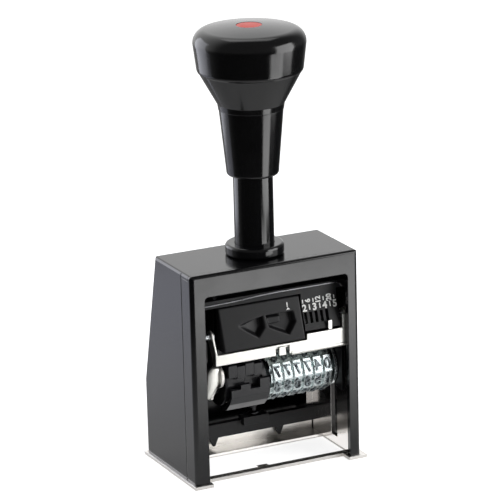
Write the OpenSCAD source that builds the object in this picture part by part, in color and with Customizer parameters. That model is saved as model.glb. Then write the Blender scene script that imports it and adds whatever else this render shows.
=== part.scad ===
// Automatic numbering machine: press the knob and the figures turn over and print.
// Origin: on the underside of the base plate, under the middle of the stem.
// X to the right, Y to the back, Z up. Millimetres.

/* [Casing] */
// Room between the right fork arm and the outside of the casing
side_room = 3.5; // [3.4:0.1:8]
// Height that the casing has on top of the plunger's travel and the figure wheels
head_room = 34.5; // [34.5:0.5:42]
// Distance from the stem's axis to the front face
front_d = 15.6; // [15.4:0.2:19]
// Distance from the stem's axis to the back of the top
back_top_d = 13.9; // [13.4:0.2:18]
// Distance from the stem's axis to the back at the bottom
back_low_d = 25.9; // [24:0.2:30]
// Height above the base plate at which the back stops sloping
kink_h = 27.8; // [20:0.5:32]
// Wall of the casing
wall = 1.6; // [1.2:0.1:1.8]
// Thickness of the face of the front frame
face_t = 2; // [1.6:0.1:2.1]
// Width of the left leg of the front frame
left_leg_w = 5.3; // [4:0.1:6]
// Width of the right leg of the front frame
right_leg_w = 4.1; // [3.6:0.1:5]
// Height of the rail over the window
top_rail_h = 8.1; // [6:0.1:9]
// Rounding of the casing's front corners
front_round = 1.4; // [0.8:0.1:3]
// Rounding of the casing's back corners
back_round = 1.4; // [1.1:0.1:4]
// Rounding of the casing's top edges
top_round = 1; // [0.6:0.1:1.6]

/* [Base] */
// Thickness of the base plate
base_t = 1.2; // [0.8:0.1:1.6]
// Reach of the base plate beyond the casing
base_lip = 0.8; // [0.4:0.1:1.5]
// Extra reach of the right front tab
tab_reach = 1.2; // [0:0.1:2]
// Depth of the front tabs
tab_d = 5; // [4:0.1:5.4]
// Height of the upright lip behind the printing window
lip_h = 4; // [3:0.1:4.4]

/* [Plunger] */
// Radius of the stem
stem_r = 7; // [6:0.1:7.1]
// Wall of the stem
stem_wall = 1.4; // [1.2:0.1:2]
// Travel of the plunger
stroke = 23; // [20:0.5:23]
// Stem that shows above the collar when at rest
stem_show = 24.7; // [24:0.1:28]
// Height of the grip sleeve
grip_h = 23.6; // [20:0.2:28]
// Radius of the grip sleeve at its foot
grip_foot_r = 9.2; // [9:0.1:10]
// Radius of the grip sleeve at its top
grip_top_r = 11.3; // [10.5:0.1:12]
// Largest radius of the knob
knob_r = 19.7; // [17:0.1:22]
// Height of the knob's cone
cone_h = 13.2; // [9:0.2:14]
// Height of the knob's side band
band_h = 10.4; // [9:0.2:14]
// Height of the knob's domed top
dome_h = 6; // [5:0.1:8]
// Radius of the cap in the knob
cap_r = 4.5; // [3:0.1:6]

/* [Collar] */
// Radius of the collar's flange
collar_r = 10.4; // [10:0.1:12]
// Height of the collar's flange
collar_h = 4; // [3:0.1:5]
// Wall of the collar's bush
bush_wall = 1.5; // [1.2:0.1:2]

/* [Number wheels] */
// Distance from one number wheel to the next
wheel_pitch = 4; // [3.8:0.05:4]
// Width of a wheel's figure drum
drum_w = 2.9; // [2.4:0.1:3]
// Radius over the corners of a figure drum
drum_r = 9.4; // [8.6:0.1:9.4]
// Height of the raised figures
figure_h = 0.5; // [0.3:0.1:0.6]
// Radius of the wheel axle
axle_r = 2; // [1.5:0.1:2.4]
// Number of blank spacers
spacer_count = 4; // [3:1:4]
// Width of a blank spacer
spacer_w = 3.2; // [2.8:0.1:3.2]

/* [Ink and selector] */
// Lean of the ink cartridge and the selector panel
lean = 18; // [14:0.5:19]
// Width of the ink cartridge
cartridge_w = 31.8; // [28:0.2:32]
// Thickness of the ink pad
pad_t = 3; // [2:0.1:3.1]
// Half the width of the ink pad from front to back
pad_half = 2.6; // [2:0.1:2.8]
// Distance from one comb slot to the next
slot_pitch = 2.1; // [2:0.05:2.2]
// Number of comb slots
slot_count = 5; // [3:1:5]

/* [Fits] */
// Radial clearance of a turning or sliding round fit
fit = 0.05; // [0.02:0.01:0.09]
// Clearance between parts that pass each other
gap = 0.3; // [0.2:0.05:0.3]

/* [Hidden] */
$fn = 64;
e = 0.01;
// number wheels: the plunger's travel brings the raised figures down to the paper
wheel_count = 6;
figure_r = drum_r * cos(18) + figure_h;
wheel_z = stroke + figure_r;
clear_r = drum_r + 0.35;
wheels_left = 1.1;
arm_t = 0.8;
disc_t = 1;
pawl_left = wheels_left - gap - arm_t;
wheels_right = wheels_left + wheel_count * wheel_pitch;
pawl_right = wheels_right + gap;
ring_left = pawl_right + arm_t + gap;
ring_w = 1;
fork_t = 1.2;
fork_right = ring_left + ring_w + gap;
shim_count = 3;
shim_w = 0.7;
shims_left = pawl_left - gap - shim_count * shim_w;
spacers_left = shims_left - spacer_count * (spacer_w + 0.1);
cheek_left = spacers_left - gap - arm_t;
fork_left = cheek_left - gap - fork_t;
crank_left = fork_left - gap - disc_t;
axle_left = crank_left - 0.4;
axle_right = fork_right + fork_t + 0.4;

// casing
casing_w = 2 * (fork_right + fork_t + side_room);
half_w = casing_w / 2;
casing_h = stroke + 2 * figure_r + head_room;
casing_top = base_t + casing_h;
kink_z = base_t + kink_h;
inner_half = half_w - wall;
face_in = -front_d + face_t;
split_y = face_in + 5.4;
slope = atan((back_low_d - back_top_d) / (casing_top - kink_z));
seam_w = 0.3;
seam_deep = 0.4;
window_left = -half_w + left_leg_w;
window_right = half_w - right_leg_w;
window_top = casing_top - top_rail_h;
window_round = 1.4;

// plunger heights
collar_top = casing_top + collar_h;
grip_z = collar_top + stem_show;
knob_z = grip_z + grip_h;
band_z = knob_z + cone_h;
dome_z = band_z + band_h;
knob_top = dome_z + dome_h;
nut_h = 1.2;
nut_z = casing_top - wall - nut_h;
stem_low = casing_top - 6.6;
cap_t = 1;

// side plates that guide the fork
rail_y = back_low_d - 10.9;
plate_t = 0.8;
plate_right = inner_half - plate_t;
bail_t = 0.6;
bail_right = plate_right - 0.2;
bail_left = crank_left - 2.4 - bail_t;
plate_left = -inner_half;
plate_front = face_in + 0.6;
plate_back = rail_y + 3;
plate_top = window_top - 6.7;

// ink pad, pad frame and cartridge
pad_z = wheel_z + figure_r + gap;
web_t = 0.8;
web_z = pad_z + pad_t;
bar_z = pad_z + 0.8;
bar_h = 3.8;
bar_top = bar_z + bar_h;
bar_y = face_in + 0.4;
bar_t = 0.8;
pivot_y = -8.5;
pivot_z = bar_top + 5.8;
pin_r = 1.2;
cartridge_left = bail_left + 3.4;
cartridge_right = cartridge_left + cartridge_w;
cartridge_z = bar_top + 0.4;
cartridge_top = plate_top - 0.6;
cartridge_y = face_in + gap;
cartridge_back = -stem_r - 0.4;
panel_left = cartridge_right + gap;
lug_w = 2.6;
panel_right = bail_right - lug_w - gap;
panel_z = cartridge_z + 2.6;
shoulder_z = plate_top - 2.8;
panel_top = plate_top + 2.7;
panel_t = 1.2;

// crosshead and return spring
crosshead_y = 4.2;
crosshead_d = 5;
crosshead_back = crosshead_y + crosshead_d;
lock_screw_z = stem_low + 1.6;
crosshead_top = nut_z - 0.5;
crosshead_h = 17.3;
crosshead_low = crosshead_top - crosshead_h;
bridge_z = crosshead_low + 5;
tongue_w = 8;
tongue_t = 1.4;
strap_half = 3;
strap_h = 20;
strap_step = 14;
spring_x = 5;
spring_y = rail_y - 0.4;
guide_r = 1;
spring_r = 1.7;
wire_r = 0.4;
seat_z = 12;
rail_t = 2;
rail_z = 5.4;
rail_top = 10.5;
lip_y = rail_y + rail_t + gap;
screw_r = 1.5;
head_r = 2.8;
base_screw_x = half_w - 8.5;
base_screw_y = back_low_d - wall - head_r - 0.2;

// a cylinder along X from x0 to x1
module rod_x(x0, x1, y, z, r) {
    translate([x0, y, z]) rotate([0, 90, 0]) cylinder(h = x1 - x0, r = r);
}

// a flat outline in Y and Z, pushed from x0 to x1
module plate_x(x0, x1) {
    translate([x0, 0, 0]) rotate([90, 0, 90]) linear_extrude(x1 - x0) children();
}

module box(x0, x1, y0, y1, z0, z1) {
    translate([x0, y0, z0]) cube([x1 - x0, y1 - y0, z1 - z0]);
}

module round_square(x0, x1, y0, y1, r) {
    translate([x0 + r, y0]) square([x1 - x0 - 2 * r, y1 - y0]);
    translate([x0, y0 + r]) square([x1 - x0, y1 - y0 - 2 * r]);
    for (x = [x0 + r, x1 - r], y = [y0 + r, y1 - r]) translate([x, y]) circle(r);
}

// side outline of the casing, grown inwards by t
module side_outline(t, low) {
    back = t / cos(slope);
    polygon([[-front_d + t, low], [back_low_d - t, low], [back_low_d - t, kink_z],
        [back_top_d - back + t * tan(slope), casing_top - t], [-front_d + t, casing_top - t]]);
}

// a solid of the casing's outside, with rounded upright corners and top edges
module casing_solid() {
    intersection() {
        plate_x(-half_w, half_w) side_outline(0, base_t);
        translate([0, 0, base_t]) linear_extrude(casing_h) {
            round_square(-half_w, half_w, -front_d, 10, front_round);
            round_square(-half_w, half_w, -5, back_low_d, back_round);
        }
        translate([0, 60, 0]) rotate([90, 0, 0]) linear_extrude(120) {
            round_square(-half_w, half_w, 20, casing_top, top_round);
            translate([-half_w, base_t]) square([casing_w, 40]);
        }
        // the sloping back has rounded side edges too
        translate([0, back_low_d, kink_z]) rotate([slope, 0, 0]) translate([0, 0, -60])
            linear_extrude(150) round_square(-half_w, half_w, -90, 0, back_round);
        // rounding between the top and the front face
        plate_x(-half_w, half_w) {
            translate([-front_d + top_round, 0]) square([80, casing_top]);
            translate([-front_d, 0]) square([80, casing_top - top_round]);
            translate([-front_d + top_round, casing_top - top_round]) circle(top_round);
        }
    }
}

module casing_cavity() {
    intersection() {
        plate_x(-inner_half, inner_half) side_outline(wall, -e);
        box(-inner_half, inner_half, face_in, 60, -e, casing_top);
        translate([0, back_low_d, kink_z]) rotate([slope, 0, 0]) translate([0, 0, -60])
            linear_extrude(150) round_square(-inner_half, inner_half, -90, -wall, 3);
    }
}

// the part of the casing that belongs to the front frame
module front_zone() {
    box(-half_w - 1, half_w + 1, -front_d - 1, split_y, 0, casing_top - wall - gap);
    box(-half_w - 1, half_w + 1, -front_d - 1, face_in, 0, casing_top + 1);
}

module front_frame() {
    color("#1b1b1d") difference() {
        intersection() {
            casing_solid();
            front_zone();
        }
        casing_cavity();
        // window, open at the foot between the legs
        translate([0, face_in + 1, 0]) rotate([90, 0, 0]) linear_extrude(face_t + 2) {
            round_square(window_left, window_right, 20, window_top, window_round);
            translate([window_left, -1]) square([window_right - window_left, 40]);
        }
    }
}

module rear_shell() {
    color("#19191b") difference() {
        casing_solid();
        front_zone();
        casing_cavity();
        // hole for the collar's bush
        translate([0, 0, casing_top - 5]) cylinder(h = 10, r = stem_r + fit + bush_wall);
        // seam groove along the joint with the front frame
        for (side = [-1, 1]) translate([side * half_w, split_y + seam_w / 2, casing_top / 2])
            cube([2 * seam_deep, seam_w, 2 * casing_top], center = true);
    }
}

base_w = casing_w + 2 * base_lip;
tab_front = -front_d - 1;
window_back = rail_y - 4.5;
window_front = -front_d + 6.8;
base_left = plate_left + plate_t + 0.9;
base_right = plate_right + 0.5;

module base_plate() {
    color("#c9ccd0") {
        difference() {
            union() {
                box(-base_w / 2, base_w / 2, tab_front + tab_d, back_low_d + base_lip, 0, base_t);
                box(-base_w / 2, window_left + 1, tab_front, tab_front + tab_d + 1, 0, base_t);
                box(window_right - 1, base_w / 2 + tab_reach, tab_front, tab_front + tab_d + 1, 0, base_t);
            }
            // printing window
            box(base_left, base_right, window_front, window_back, -1, base_t + 1);
            base_screw_places() translate([0, 0, -1]) cylinder(h = base_t + 2, r = screw_r + fit);
        }
        // small upright lip at the back of the printing window
        box(plate_left + plate_t + gap, plate_right - gap, lip_y, lip_y + 1, base_t, base_t + lip_h);
        // locating tab on the front bar
        box(-5, -1, window_front - 0.5, window_front + 1.6, 0, base_t);
    }
}

module base_screw_places() {
    for (x = [-base_screw_x, base_screw_x]) translate([x, base_screw_y, 0]) children();
}

module base_screws() {
    color("#8e9196") base_screw_places() {
        translate([0, 0, 0.2]) cylinder(h = base_t + 3, r = screw_r);
        translate([0, 0, base_t]) cylinder(h = 1.4, r = head_r);
    }
}

module collar() {
    edge = 1;
    color("#151517") rotate_extrude() difference() {
        union() {
            translate([0, casing_top]) square([collar_r - edge, collar_h]);
            translate([0, casing_top + edge]) square([collar_r, collar_h - 2 * edge]);
            for (z = [casing_top + edge, collar_top - edge]) translate([collar_r - edge, z]) circle(edge);
            translate([0, nut_z - 0.2]) square([stem_r + bush_wall, casing_top - nut_z + 0.3]);
        }
        translate([-20, -1]) square([20 + stem_r + fit, 200]);
    }
}

module collar_nut() {
    color("#6d7074") translate([0, 0, nut_z]) difference() {
        cylinder(h = nut_h, r = collar_r + 1, $fn = 6);
        translate([0, 0, -1]) cylinder(h = nut_h + 2, r = stem_r + bush_wall + fit);
    }
}

// one upright side plate, with a slot for the end of the axle
module guide_plate(x) {
    plate_x(x, x + plate_t) difference() {
        union() {
            translate([plate_front, base_t]) square([plate_back - plate_front, 22]);
            translate([plate_front + 1, 20]) square([10 - plate_front, plate_top - 20]);
        }
        translate([-axle_r - gap, 4]) square([2 * (axle_r + gap), wheel_z + 3 - 4]);
        translate([0, wheel_z + 3]) circle(axle_r + gap);
        translate([pivot_y, pivot_z]) circle(pin_r + fit);
        // clearance for the stepping cam
        translate([plate_front - 1, 8]) square([2.2, 7]);
    }
}

module left_guide_plate() {
    color("#202124") guide_plate(plate_left);
}

module right_guide_plate() {
    color("#c6c8cc") {
        guide_plate(plate_right);
        box(plate_right - 2.4, plate_right, plate_back - 1, plate_back - 0.2, rail_top + 0.2, 20);
    }
}

module pointer(x) {
    translate([x, rail_y + 0.2, 0]) rotate([90, 0, 0]) mirror([0, 0, 1]) linear_extrude(1.2)
        polygon([[-1.8, rail_z + 0.1], [1.8, rail_z + 0.1], [0.4, rail_z - 3.1], [-0.4, rail_z - 3.1]]);
}

module pointer_rail() {
    color("#18181a") {
        difference() {
            box(plate_left + plate_t, plate_right, rail_y, rail_y + rail_t, rail_z, rail_top);
            translate([spring_x, spring_y, seat_z - 2.6]) cylinder(h = 20, r = guide_r + fit);
        }
        difference() {
            box(spring_x - 5, spring_x + 5, spring_y - 2.1, rail_y + rail_t, rail_top - 1.5, seat_z);
            translate([spring_x, spring_y, seat_z - 2.6]) cylinder(h = 20, r = guide_r + fit);
        }
        pointer(-10.8);
        pointer(15.5);
    }
}

module spring_guide_rod() {
    color("#a9acb0") translate([spring_x, spring_y, seat_z - 2.6]) cylinder(h = 22, r = guide_r);
}

module frame_pins() {
    color("#bfc2c6") {
        rod_x(plate_left, bail_left + bail_t + 0.8, pivot_y, pivot_z, pin_r);
        rod_x(bail_right - bail_t - 0.8, inner_half, pivot_y, pivot_z, pin_r);
    }
}

function lean_y(z) = cartridge_y + (z - cartridge_z) * tan(lean);

slot_w = 1.1;
web_half = 1;
well_w = 11.4;
well_h = 10.6;
slots_z = panel_z + 2.4;
slots_top = slots_z + 3.8;
slots_left = panel_left + 0.4;

module selector_panel() {
    top_y = min(lean_y(shoulder_z), cartridge_back - panel_t);
    ledge_back = lean_y(panel_z) + 2 * panel_t;
    color("#1a1a1c") difference() {
        union() {
            // leaning plate with the scale
            plate_x(panel_left, panel_right) polygon([[lean_y(panel_z), panel_z], [top_y, shoulder_z],
                [top_y, panel_top - 1.2], [top_y + 1, panel_top], [top_y + panel_t, panel_top],
                [top_y + panel_t, shoulder_z], [lean_y(panel_z) + panel_t + 0.4, panel_z]]);
            // top strip that rests on the guide plates
            box(plate_left, inner_half, top_y, top_y + panel_t, plate_top, panel_top);
            // ledge that carries the repeat selector
            plate_x(panel_left, panel_right) polygon([[lean_y(panel_z), panel_z],
                [ledge_back, panel_z], [ledge_back, panel_z + 1], [lean_y(panel_z + 1), panel_z + 1]]);
        }
        for (i = [0:slot_count - 1])
            translate([slots_left + i * slot_pitch, -20, slots_z]) cube([slot_w, 20, slots_top - slots_z]);
    }
}

// small pointer that steps along the comb, drawn at the last slot
module repeat_selector() {
    x = slots_left + (slot_count - 1) * slot_pitch + slot_w / 2;
    z = slots_z - 1.4;
    y = lean_y(z) - 0.5;
    color("#d5d7da") plate_x(x - 0.7, x + 0.7)
        translate([y, z]) polygon([[0, -1.4], [-0.15, 1.8], [-0.75, 1.8], [-0.75, -1.4]]);
}

module stem() {
    color("#121214") translate([0, 0, stem_low]) difference() {
        cylinder(h = knob_z + 2 - stem_low, r = stem_r);
        translate([0, 0, -1]) cylinder(h = knob_z - 4 - stem_low, r = stem_r - stem_wall);
        cylinder(h = knob_top, r = screw_r + 0.2);
        crosshead_screw_holes(-stem_low);
    }
}

// the two screws through the back of the crosshead into the stem
module crosshead_screw_holes(lift) {
    for (x = [-3, 3])
        translate([x, 0, lock_screw_z + lift]) rotate([-90, 0, 0]) cylinder(h = 20, r = 1 + fit);
}

module crosshead_screws() {
    color("#8e9196") for (x = [-3, 3]) {
        translate([x, crosshead_y + 1, lock_screw_z]) rotate([-90, 0, 0]) {
            cylinder(h = crosshead_d - 1, r = 1);
            translate([0, 0, crosshead_d - 1]) cylinder(h = 1, r = 1.6);
        }
    }
}

module grip_sleeve() {
    foot = 1.2;
    color("#141416") rotate_extrude() difference() {
        union() {
            polygon([[0, grip_z + foot], [grip_foot_r, grip_z + foot], [grip_top_r, knob_z], [0, knob_z]]);
            translate([0, grip_z]) square([grip_foot_r - foot, foot + 0.2]);
            translate([grip_foot_r - foot, grip_z + foot]) circle(foot);
        }
        translate([-30, 0]) square([30 + stem_r + fit / 2, knob_z + 20]);
    }
}

// side of the knob: cone, side band, rounded rim and domed top
module knob_outline() {
    rim = 4.8;
    foot = 2.2;
    draft = 7;
    foot_drop = 0.6;
    neck_r = grip_top_r + 0.15;
    turn = 90 - 2 * atan((dome_h - rim) / (knob_r - rim));
    join = [knob_r - rim, dome_z] + rim * [cos(turn), sin(turn)];
    dome_r = rim + (knob_r - rim) / cos(turn);
    side_h = (dome_z - band_z - foot + foot_drop - (rim - foot) * sin(draft)) / cos(draft);
    foot_at = [knob_r - rim + (rim - foot) * cos(draft) - side_h * sin(draft), band_z + foot - foot_drop];
    polygon([[0, knob_z], [neck_r, knob_z], [neck_r + 0.3, knob_z + 2], foot_at + foot * [cos(50), -sin(50)],
        foot_at + foot * [cos(draft), -sin(draft)],
        [knob_r - rim, dome_z] + rim * [cos(draft), -sin(draft)], join, [0, join[1]]]);
    translate(foot_at) circle(foot);
    translate([knob_r - rim, dome_z]) circle(rim);
    intersection() {
        translate([0, knob_top - dome_r]) circle(dome_r);
        translate([-join[0], join[1]]) square([2 * join[0], 20]);
    }
}

module knob() {
    color("#161618") rotate_extrude() difference() {
        knob_outline();
        translate([-40, 0]) square([40 + stem_r + fit / 2, knob_z + 2]);
        translate([-40, 0]) square([40 + screw_r + 0.2, knob_top + 10]);
        translate([-40, knob_top - cap_t - 0.4]) square([40 + cap_r + fit, 20]);
        translate([-40, knob_top - 4.4]) square([40 + head_r + 0.2, 20]);
    }
}

module knob_cap() {
    color("#e02418") rotate_extrude() polygon([[0, knob_top - cap_t - 0.4], [cap_r, knob_top - cap_t - 0.4],
        [cap_r, knob_top - 0.2], [cap_r * 0.6, knob_top - 0.08], [0, knob_top]]);
}

module knob_screw() {
    color("#8e9196") {
        translate([0, 0, knob_top - 4.4]) cylinder(h = 2, r = head_r);
        translate([0, 0, knob_z - 6]) cylinder(h = knob_top - 4.4 - knob_z + 6.1, r = screw_r);
    }
}

module crosshead() {
    color("#202022") difference() {
        union() {
            box(fork_left, fork_right + fork_t, crosshead_y, crosshead_back, bridge_z, crosshead_top);
            box(-8, 12, crosshead_y, crosshead_back, crosshead_low, crosshead_top);
            // tongue that presses on the return spring
            translate([spring_x - tongue_w / 2, crosshead_back - 0.5, crosshead_low])
                cube([tongue_w, spring_y + 2 - crosshead_back + 0.5, tongue_t]);
        }
        translate([0, 0, stem_low]) cylinder(h = casing_h, r = stem_r);
        translate([spring_x, spring_y, crosshead_low - 1]) cylinder(h = 5, r = guide_r + fit + 0.1);
        crosshead_screw_holes(0);
    }
}

// strap of a fork arm, from the crosshead down to the axle
module fork_strap() {
    translate([-strap_half, wheel_z]) square([2 * strap_half, strap_h]);
    translate([-strap_half, wheel_z + strap_step])
        square([crosshead_y + strap_half, crosshead_top - wheel_z - strap_step]);
    circle_at(0, wheel_z, axle_r + 2);
}

module circle_at(y, z, r) {
    translate([y, z]) circle(r);
}

module left_fork_arm() {
    color("#1c1c1e") plate_x(fork_left, fork_left + fork_t) difference() {
        fork_strap();
        circle_at(0, wheel_z, axle_r + fit);
    }
}

paddle_low = stroke + base_t + 0.6;
paddle_front = -11;
paddle_back = 3.4;
module right_fork_arm() {
    color("#1e1e20") plate_x(fork_right, fork_right + fork_t) difference() {
        union() {
            fork_strap();
            polygon([[paddle_front, paddle_low], [paddle_front + 2, paddle_low], [2, wheel_z - 4.4],
                [paddle_back, wheel_z - 3.4], [paddle_back, wheel_z + 8.6], [paddle_front, wheel_z + 8.6]]);
        }
        circle_at(0, wheel_z, axle_r + fit);
    }
}

// a round wire that winds up from z0 to z1
function ring(c, r, k) = [for (i = [0:k - 1]) let (a = 360 * i / k) [c[0] + r * cos(a), c[1] + r * sin(a)]];
module return_spring() {
    turns = 13;
    steps = 14;
    sides = 8;
    z0 = seat_z + wire_r + 0.05;
    z1 = crosshead_low - wire_r - 0.05;
    rings = turns * steps;
    points = [for (i = [0:rings]) let (a = 360 * i / steps, z = z0 + (z1 - z0) * i / rings)
        for (k = [0:sides - 1]) let (b = 360 * k / sides)
            let (r = spring_r + wire_r * cos(b))
                [spring_x + r * cos(a), spring_y + r * sin(a), z + wire_r * sin(b)]];
    faces = concat([[for (k = [0:sides - 1]) k]],
        [for (i = [0:rings - 1], k = [0:sides - 1]) let (n = (k + 1) % sides)
            [i * sides + k, (i + 1) * sides + k, (i + 1) * sides + n, i * sides + n]],
        [[for (k = [sides - 1:-1:0]) rings * sides + k]]);
    color("#b4b7bb") polyhedron(points, faces);
}

module wheel_axle() {
    color("#c2c5c9") rod_x(axle_left, axle_right, 0, wheel_z, axle_r);
}

module axle_clip() {
    color("#9b9ea3") difference() {
        rod_x(axle_right - 0.35, axle_right, 0, wheel_z, axle_r + 1.2);
        rod_x(axle_right - 2, axle_right + 2, 0, wheel_z, axle_r);
    }
}

module cam_crank() {
    head = [-7, wheel_z + 4.8];
    tip = [0, wheel_z - 4.2];
    reach = norm(tip - head);
    lean_back = atan2(tip[1] - head[1], tip[0] - head[0]);
    color("#cfd1d4") plate_x(crank_left, crank_left + disc_t) difference() {
        union() {
            translate(head) circle(4.3);
            translate(tip) circle(2.1);
            circle_at(0, wheel_z, axle_r + 1);
            translate(head) rotate(lean_back) translate([0, -1.9]) square([0.8 * reach, 5.4]);
            translate(head) rotate(lean_back) translate([0, -1.8]) square([reach, 3.6]);
        }
        circle_at(0, wheel_z, axle_r);
    }
}

// the tie rod lies behind the wheels
rod_turn = 110;
rod_place = clear_r + 1.1;
rod_y = rod_place * sin(rod_turn);
rod_z = wheel_z + rod_place * cos(rod_turn);
rod_r = 0.9;
lug_r = 1.8;

module cheek_outline() {
    circle_at(0, wheel_z, drum_r - 1);
    circle_at(rod_y, rod_z, lug_r);
    translate([0, wheel_z]) rotate(90 - rod_turn) translate([drum_r - 2, -lug_r * 0.8])
        square([rod_place - drum_r + 2, lug_r * 1.6]);
}

module cheek(x, w) {
    plate_x(x, x + w) difference() {
        cheek_outline();
        circle_at(0, wheel_z, axle_r + fit);
        circle_at(rod_y, rod_z, rod_r);
    }
}

module inner_cheek() {
    color("#1d1d1f") cheek(cheek_left, arm_t);
}

module end_ring() {
    color("#c9ccd0") cheek(ring_left, ring_w);
}

module tie_rod() {
    color("#b9bcc0") rod_x(cheek_left - 0.2, ring_left + ring_w + 0.2, rod_y, rod_z, rod_r);
}

module blank_spacers() {
    color("#222326") for (i = [0:spacer_count - 1]) {
        x = spacers_left + i * (spacer_w + 0.1);
        plate_x(x, x + spacer_w) difference() {
            union() {
                circle_at(0, wheel_z, drum_r - 1.6);
                translate([0.6 - drum_r, wheel_z + 3.6 - 0.6 * (i % 2)]) square([drum_r - 1, drum_r - 5]);
            }
            circle_at(0, wheel_z, axle_r + fit);
        }
    }
}

module shims() {
    color("#26272a") for (i = [0:shim_count - 1])
        plate_x(shims_left + i * shim_w, shims_left + (i + 1) * shim_w - 0.1) difference() {
            circle_at(0, wheel_z, drum_r - 0.8 - 0.4 * i);
            circle_at(0, wheel_z, axle_r + fit);
        }
}

module stepped_comb() {
    // black fingers under the spacers, each one a step lower than the next
    step = (shims_left + 1.8 - spacers_left) / 4;
    color("#2b2b2e") for (i = [0:3]) {
        x = spacers_left + i * step;
        top = [-0.035, 0.135, -0.075, 0.26][i];
        plate_x(x, x + step) translate([0, wheel_z]) polygon(drum_r * [[-1.13, top - 0.02], [-0.99, top],
            [-0.98, -0.35], [-0.8, -0.6], [-0.55, -0.82], [-0.32, -0.93], [-0.32, -1.06], [-0.62, -0.97],
            [-0.95, -0.66], [-1.13, -0.35]]);
    }
}

// rocker on the axle whose bar steps the wheels on
pawl_turn = 56;
module pawl_arm(x) {
    plate_x(x, x + arm_t) difference() {
        union() {
            circle_at(0, wheel_z, 3.6);
            translate([0, wheel_z]) rotate(-pawl_turn) translate([-1.4, 0]) square([2.8, clear_r + 1.9]);
        }
        circle_at(0, wheel_z, axle_r + fit);
    }
}

module feed_pawl() {
    color("#aeb1b5") {
        pawl_arm(pawl_left);
        pawl_arm(pawl_right);
        plate_x(pawl_left + e, pawl_right + arm_t - e) translate([0, wheel_z]) rotate(-pawl_turn)
            translate([-1.2, clear_r + 0.5]) square([2.4, 1.2]);
    }
}

// a figure drum with ten flats and a toothed ring on its left
module number_wheel(i) {
    x = wheels_left + (i - 1) * wheel_pitch;
    ratchet_w = wheel_pitch - drum_w - 0.15;
    flank_r = drum_r * cos(18) - 0.6;
    color("#c4c7cb") difference() {
        union() {
            translate([x + ratchet_w, 0, wheel_z]) rotate([0, 90, 0]) rotate(18)
                cylinder(h = drum_w, r = drum_r, $fn = 10);
            rod_x(x, x + ratchet_w + e, 0, wheel_z, flank_r);
        }
        for (k = [0:9]) translate([x - 1, 0, wheel_z]) rotate([k * 36, 0, 0])
            translate([0, 0, flank_r - 1.3]) rotate([20, 0, 0]) cube([1 + ratchet_w - 0.05, 1.7, 4]);
        rod_x(x - 1, x + wheel_pitch + 1, 0, wheel_z, axle_r + fit);
    }
}

// steel frame that holds the pad over the wheels, hung on two pins
module pad_frame() {
    web_left = cheek_left;
    web_right = fork_right - gap - 0.2;
    color("#d3d5d8") {
        difference() {
            union() {
                box(bail_left, bail_right, bar_y, bar_y + bar_t, bar_z, bar_top);
                box(web_left, web_right, bar_y, pad_half + 0.1, web_z, web_z + web_t);
                // taller right part with an upright lug
                box(panel_left + 0.2, bail_right, bar_y, bar_y + bar_t, bar_z, bar_top + 2.2);
                box(bail_right - lug_w, bail_right, bar_y, bar_y + bar_t, bar_z, bar_top + 7.2);
                // rolled lower lip of the right part
                rod_x(7, bail_right, bar_y + 0.6, bar_z, 0.9);
            }
            // notch for the clip
            box(0.8, 6.2, bar_y - 2, bar_y + 3, bar_z - 3, web_z);
            box(0.8, 6.2, bar_y - 2, bar_y + bar_t + 0.1, bar_z, bar_top - 0.6);
        }
        bail_arm(bail_left);
        bail_arm(bail_right - bail_t);
    }
}

module bail_arm(x) {
    plate_x(x, x + bail_t) difference() {
        union() {
            circle_at(pivot_y, pivot_z, 2.2);
            polygon([[bar_y, bar_z], [bar_y + 2.4, bar_z], [pivot_y + 2.2, pivot_z],
                [pivot_y - 1.6, pivot_z + 1.5], [bar_y, bar_top + 0.6]]);
        }
        circle_at(pivot_y, pivot_z, pin_r + fit);
    }
}

module pad_clip() {
    color("#dfe1e4") {
        box(2.2, 4.8, bar_y + 0.1, bar_y + 0.7, bar_z - 0.2, bar_top - 1);
        box(2.2, 4.8, bar_y + 0.1, bar_y + 4, web_z - 0.6, web_z);
    }
}

module ink_pad() {
    color("#222235") box(wheels_left - 1, wheels_right + 1, -pad_half, pad_half, pad_z, web_z);
}

// one finger well, from the web between the two wells outwards
module well_outline() {
    polygon([[web_half, well_h * 0.98], [well_w * 0.88, well_h], [well_w, well_h * 0.64],
        [well_w * 0.7, well_h * 0.26], [well_w * 0.5, well_h * 0.19], [web_half, well_h * 0.56]]);
}

module ink_cartridge() {
    top = cartridge_top;
    well_y = cartridge_back - 1.2;
    mid = cartridge_left + 0.566 * cartridge_w;
    color("#19191b") difference() {
        plate_x(cartridge_left, cartridge_right) polygon([[lean_y(cartridge_z), cartridge_z],
            [min(lean_y(top), cartridge_back - 1), top], [cartridge_back, top],
            [cartridge_back, cartridge_z]]);
        // two finger wells with a web between them
        for (side = [-1, 1]) translate([mid, well_y, 0]) mirror([side < 0 ? 1 : 0, 0, 0]) rotate([90, 0, 0])
            linear_extrude(20) translate([0, cartridge_z]) well_outline();
    }
}

front_frame();
rear_shell();
base_plate();
collar();
collar_nut();
left_guide_plate();
right_guide_plate();
pointer_rail();
spring_guide_rod();
frame_pins();
selector_panel();
base_screws();
stem();
grip_sleeve();
knob();
knob_cap();
knob_screw();
crosshead();
crosshead_screws();
left_fork_arm();
right_fork_arm();
return_spring();
wheel_axle();
axle_clip();
cam_crank();
inner_cheek();
tie_rod();
blank_spacers();
shims();
end_ring();
stepped_comb();
feed_pawl();
number_wheel(1);  // number_wheel_1
number_wheel(2);  // number_wheel_2
number_wheel(3);  // number_wheel_3
number_wheel(4);  // number_wheel_4
number_wheel(5);  // number_wheel_5
number_wheel(6);  // number_wheel_6
pad_frame();
pad_clip();
ink_pad();
ink_cartridge();
repeat_selector();
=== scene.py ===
import math
import bmesh
import bpy
from mathutils import Matrix, Vector, noise


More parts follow.
